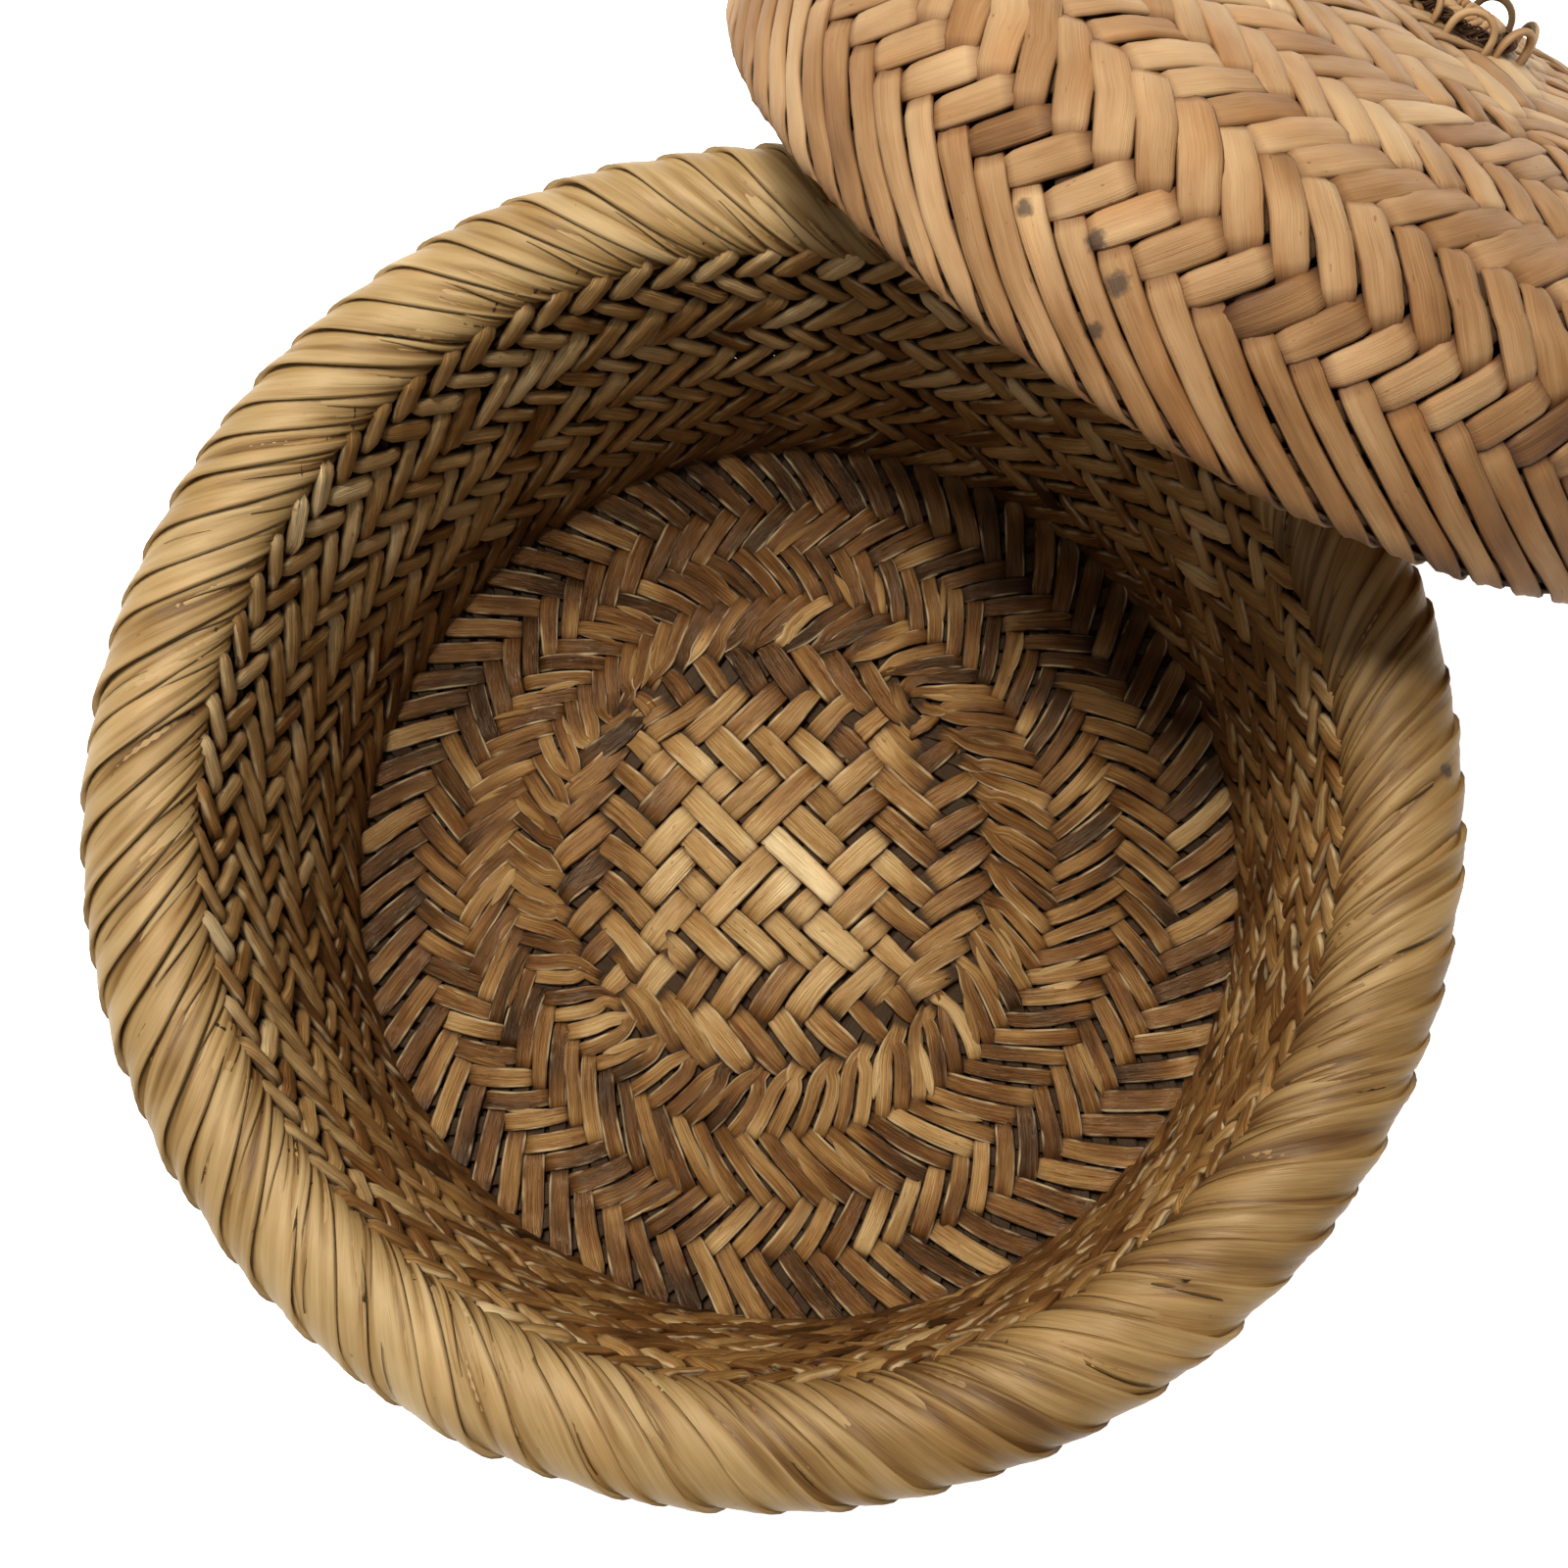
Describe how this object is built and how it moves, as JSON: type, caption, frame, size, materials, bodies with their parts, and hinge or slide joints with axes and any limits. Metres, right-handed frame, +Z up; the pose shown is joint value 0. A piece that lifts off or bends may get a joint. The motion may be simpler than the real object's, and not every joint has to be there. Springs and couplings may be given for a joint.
{
  "type": "lidded wicker basket",
  "caption": "Round open woven cane bowl with a rolled rim, and its separate domed lid with a small looped knob, standing on edge behind it.",
  "frame": {"origin": "centre of the underside of the bowl's base, on the table", "axes": "+Z up along the bowl's axis; the loose lid leans away along +Y; +X to the right"},
  "size_m": [0.21, 0.3061, 0.1501],
  "materials": {
    "bowl_outer_base__outer_cane": "split cane, satin",
    "bowl_outer_wall__outer_cane": "split cane, satin",
    "bowl_inner_floor__inner_cane": "split cane, satin",
    "bowl_inner_wall__inner_cane": "split cane, satin",
    "bowl_rim_hoop__hoop_cane": "split cane, satin",
    "bowl_rim_border__rim_cane": "split cane, satin",
    "lid_outer_crown__lid_cane": "split cane, satin",
    "lid_outer_skirt__lid_cane": "split cane, satin",
    "lid_inner_crown__inner_cane": "split cane, satin",
    "lid_inner_skirt__inner_cane": "split cane, satin",
    "lid_rim_hoop__hoop_cane": "split cane, satin",
    "lid_rim_border__lid_cane": "split cane, satin",
    "knob_base_coil__lid_cane": "split cane, satin",
    "knob_lashing__dark_fibre": "split cane, satin",
    "knob_loop_01__lid_cane": "split cane, satin",
    "knob_loop_02__lid_cane": "split cane, satin",
    "knob_loop_03__lid_cane": "split cane, satin",
    "knob_loop_04__lid_cane": "split cane, satin",
    "knob_loop_05__lid_cane": "split cane, satin",
    "knob_loop_06__lid_cane": "split cane, satin",
    "knob_loop_07__lid_cane": "split cane, satin"
  },
  "bodies": {
    "bowl": {"bowl_outer_base": "bowl_outer_base__outer_cane", "bowl_outer_wall": "bowl_outer_wall__outer_cane", "bowl_inner_floor": "bowl_inner_floor__inner_cane", "bowl_inner_wall": "bowl_inner_wall__inner_cane", "bowl_rim_hoop": "bowl_rim_hoop__hoop_cane", "bowl_rim_border": "bowl_rim_border__rim_cane"},
    "lid": {"lid_outer_crown": "lid_outer_crown__lid_cane", "lid_outer_skirt": "lid_outer_skirt__lid_cane", "lid_inner_crown": "lid_inner_crown__inner_cane", "lid_inner_skirt": "lid_inner_skirt__inner_cane", "lid_rim_hoop": "lid_rim_hoop__hoop_cane", "lid_rim_border": "lid_rim_border__lid_cane", "knob_base_coil": "knob_base_coil__lid_cane", "knob_lashing": "knob_lashing__dark_fibre", "knob_loop_01": "knob_loop_01__lid_cane", "knob_loop_02": "knob_loop_02__lid_cane", "knob_loop_03": "knob_loop_03__lid_cane", "knob_loop_04": "knob_loop_04__lid_cane", "knob_loop_05": "knob_loop_05__lid_cane", "knob_loop_06": "knob_loop_06__lid_cane", "knob_loop_07": "knob_loop_07__lid_cane"}
  },
  "joints": [
    {"name": "lid_lift", "type": "slide", "parent": "bowl", "child": "lid", "axis": [0, 0, 1], "range_m": [0, 0.16]}
  ]
}
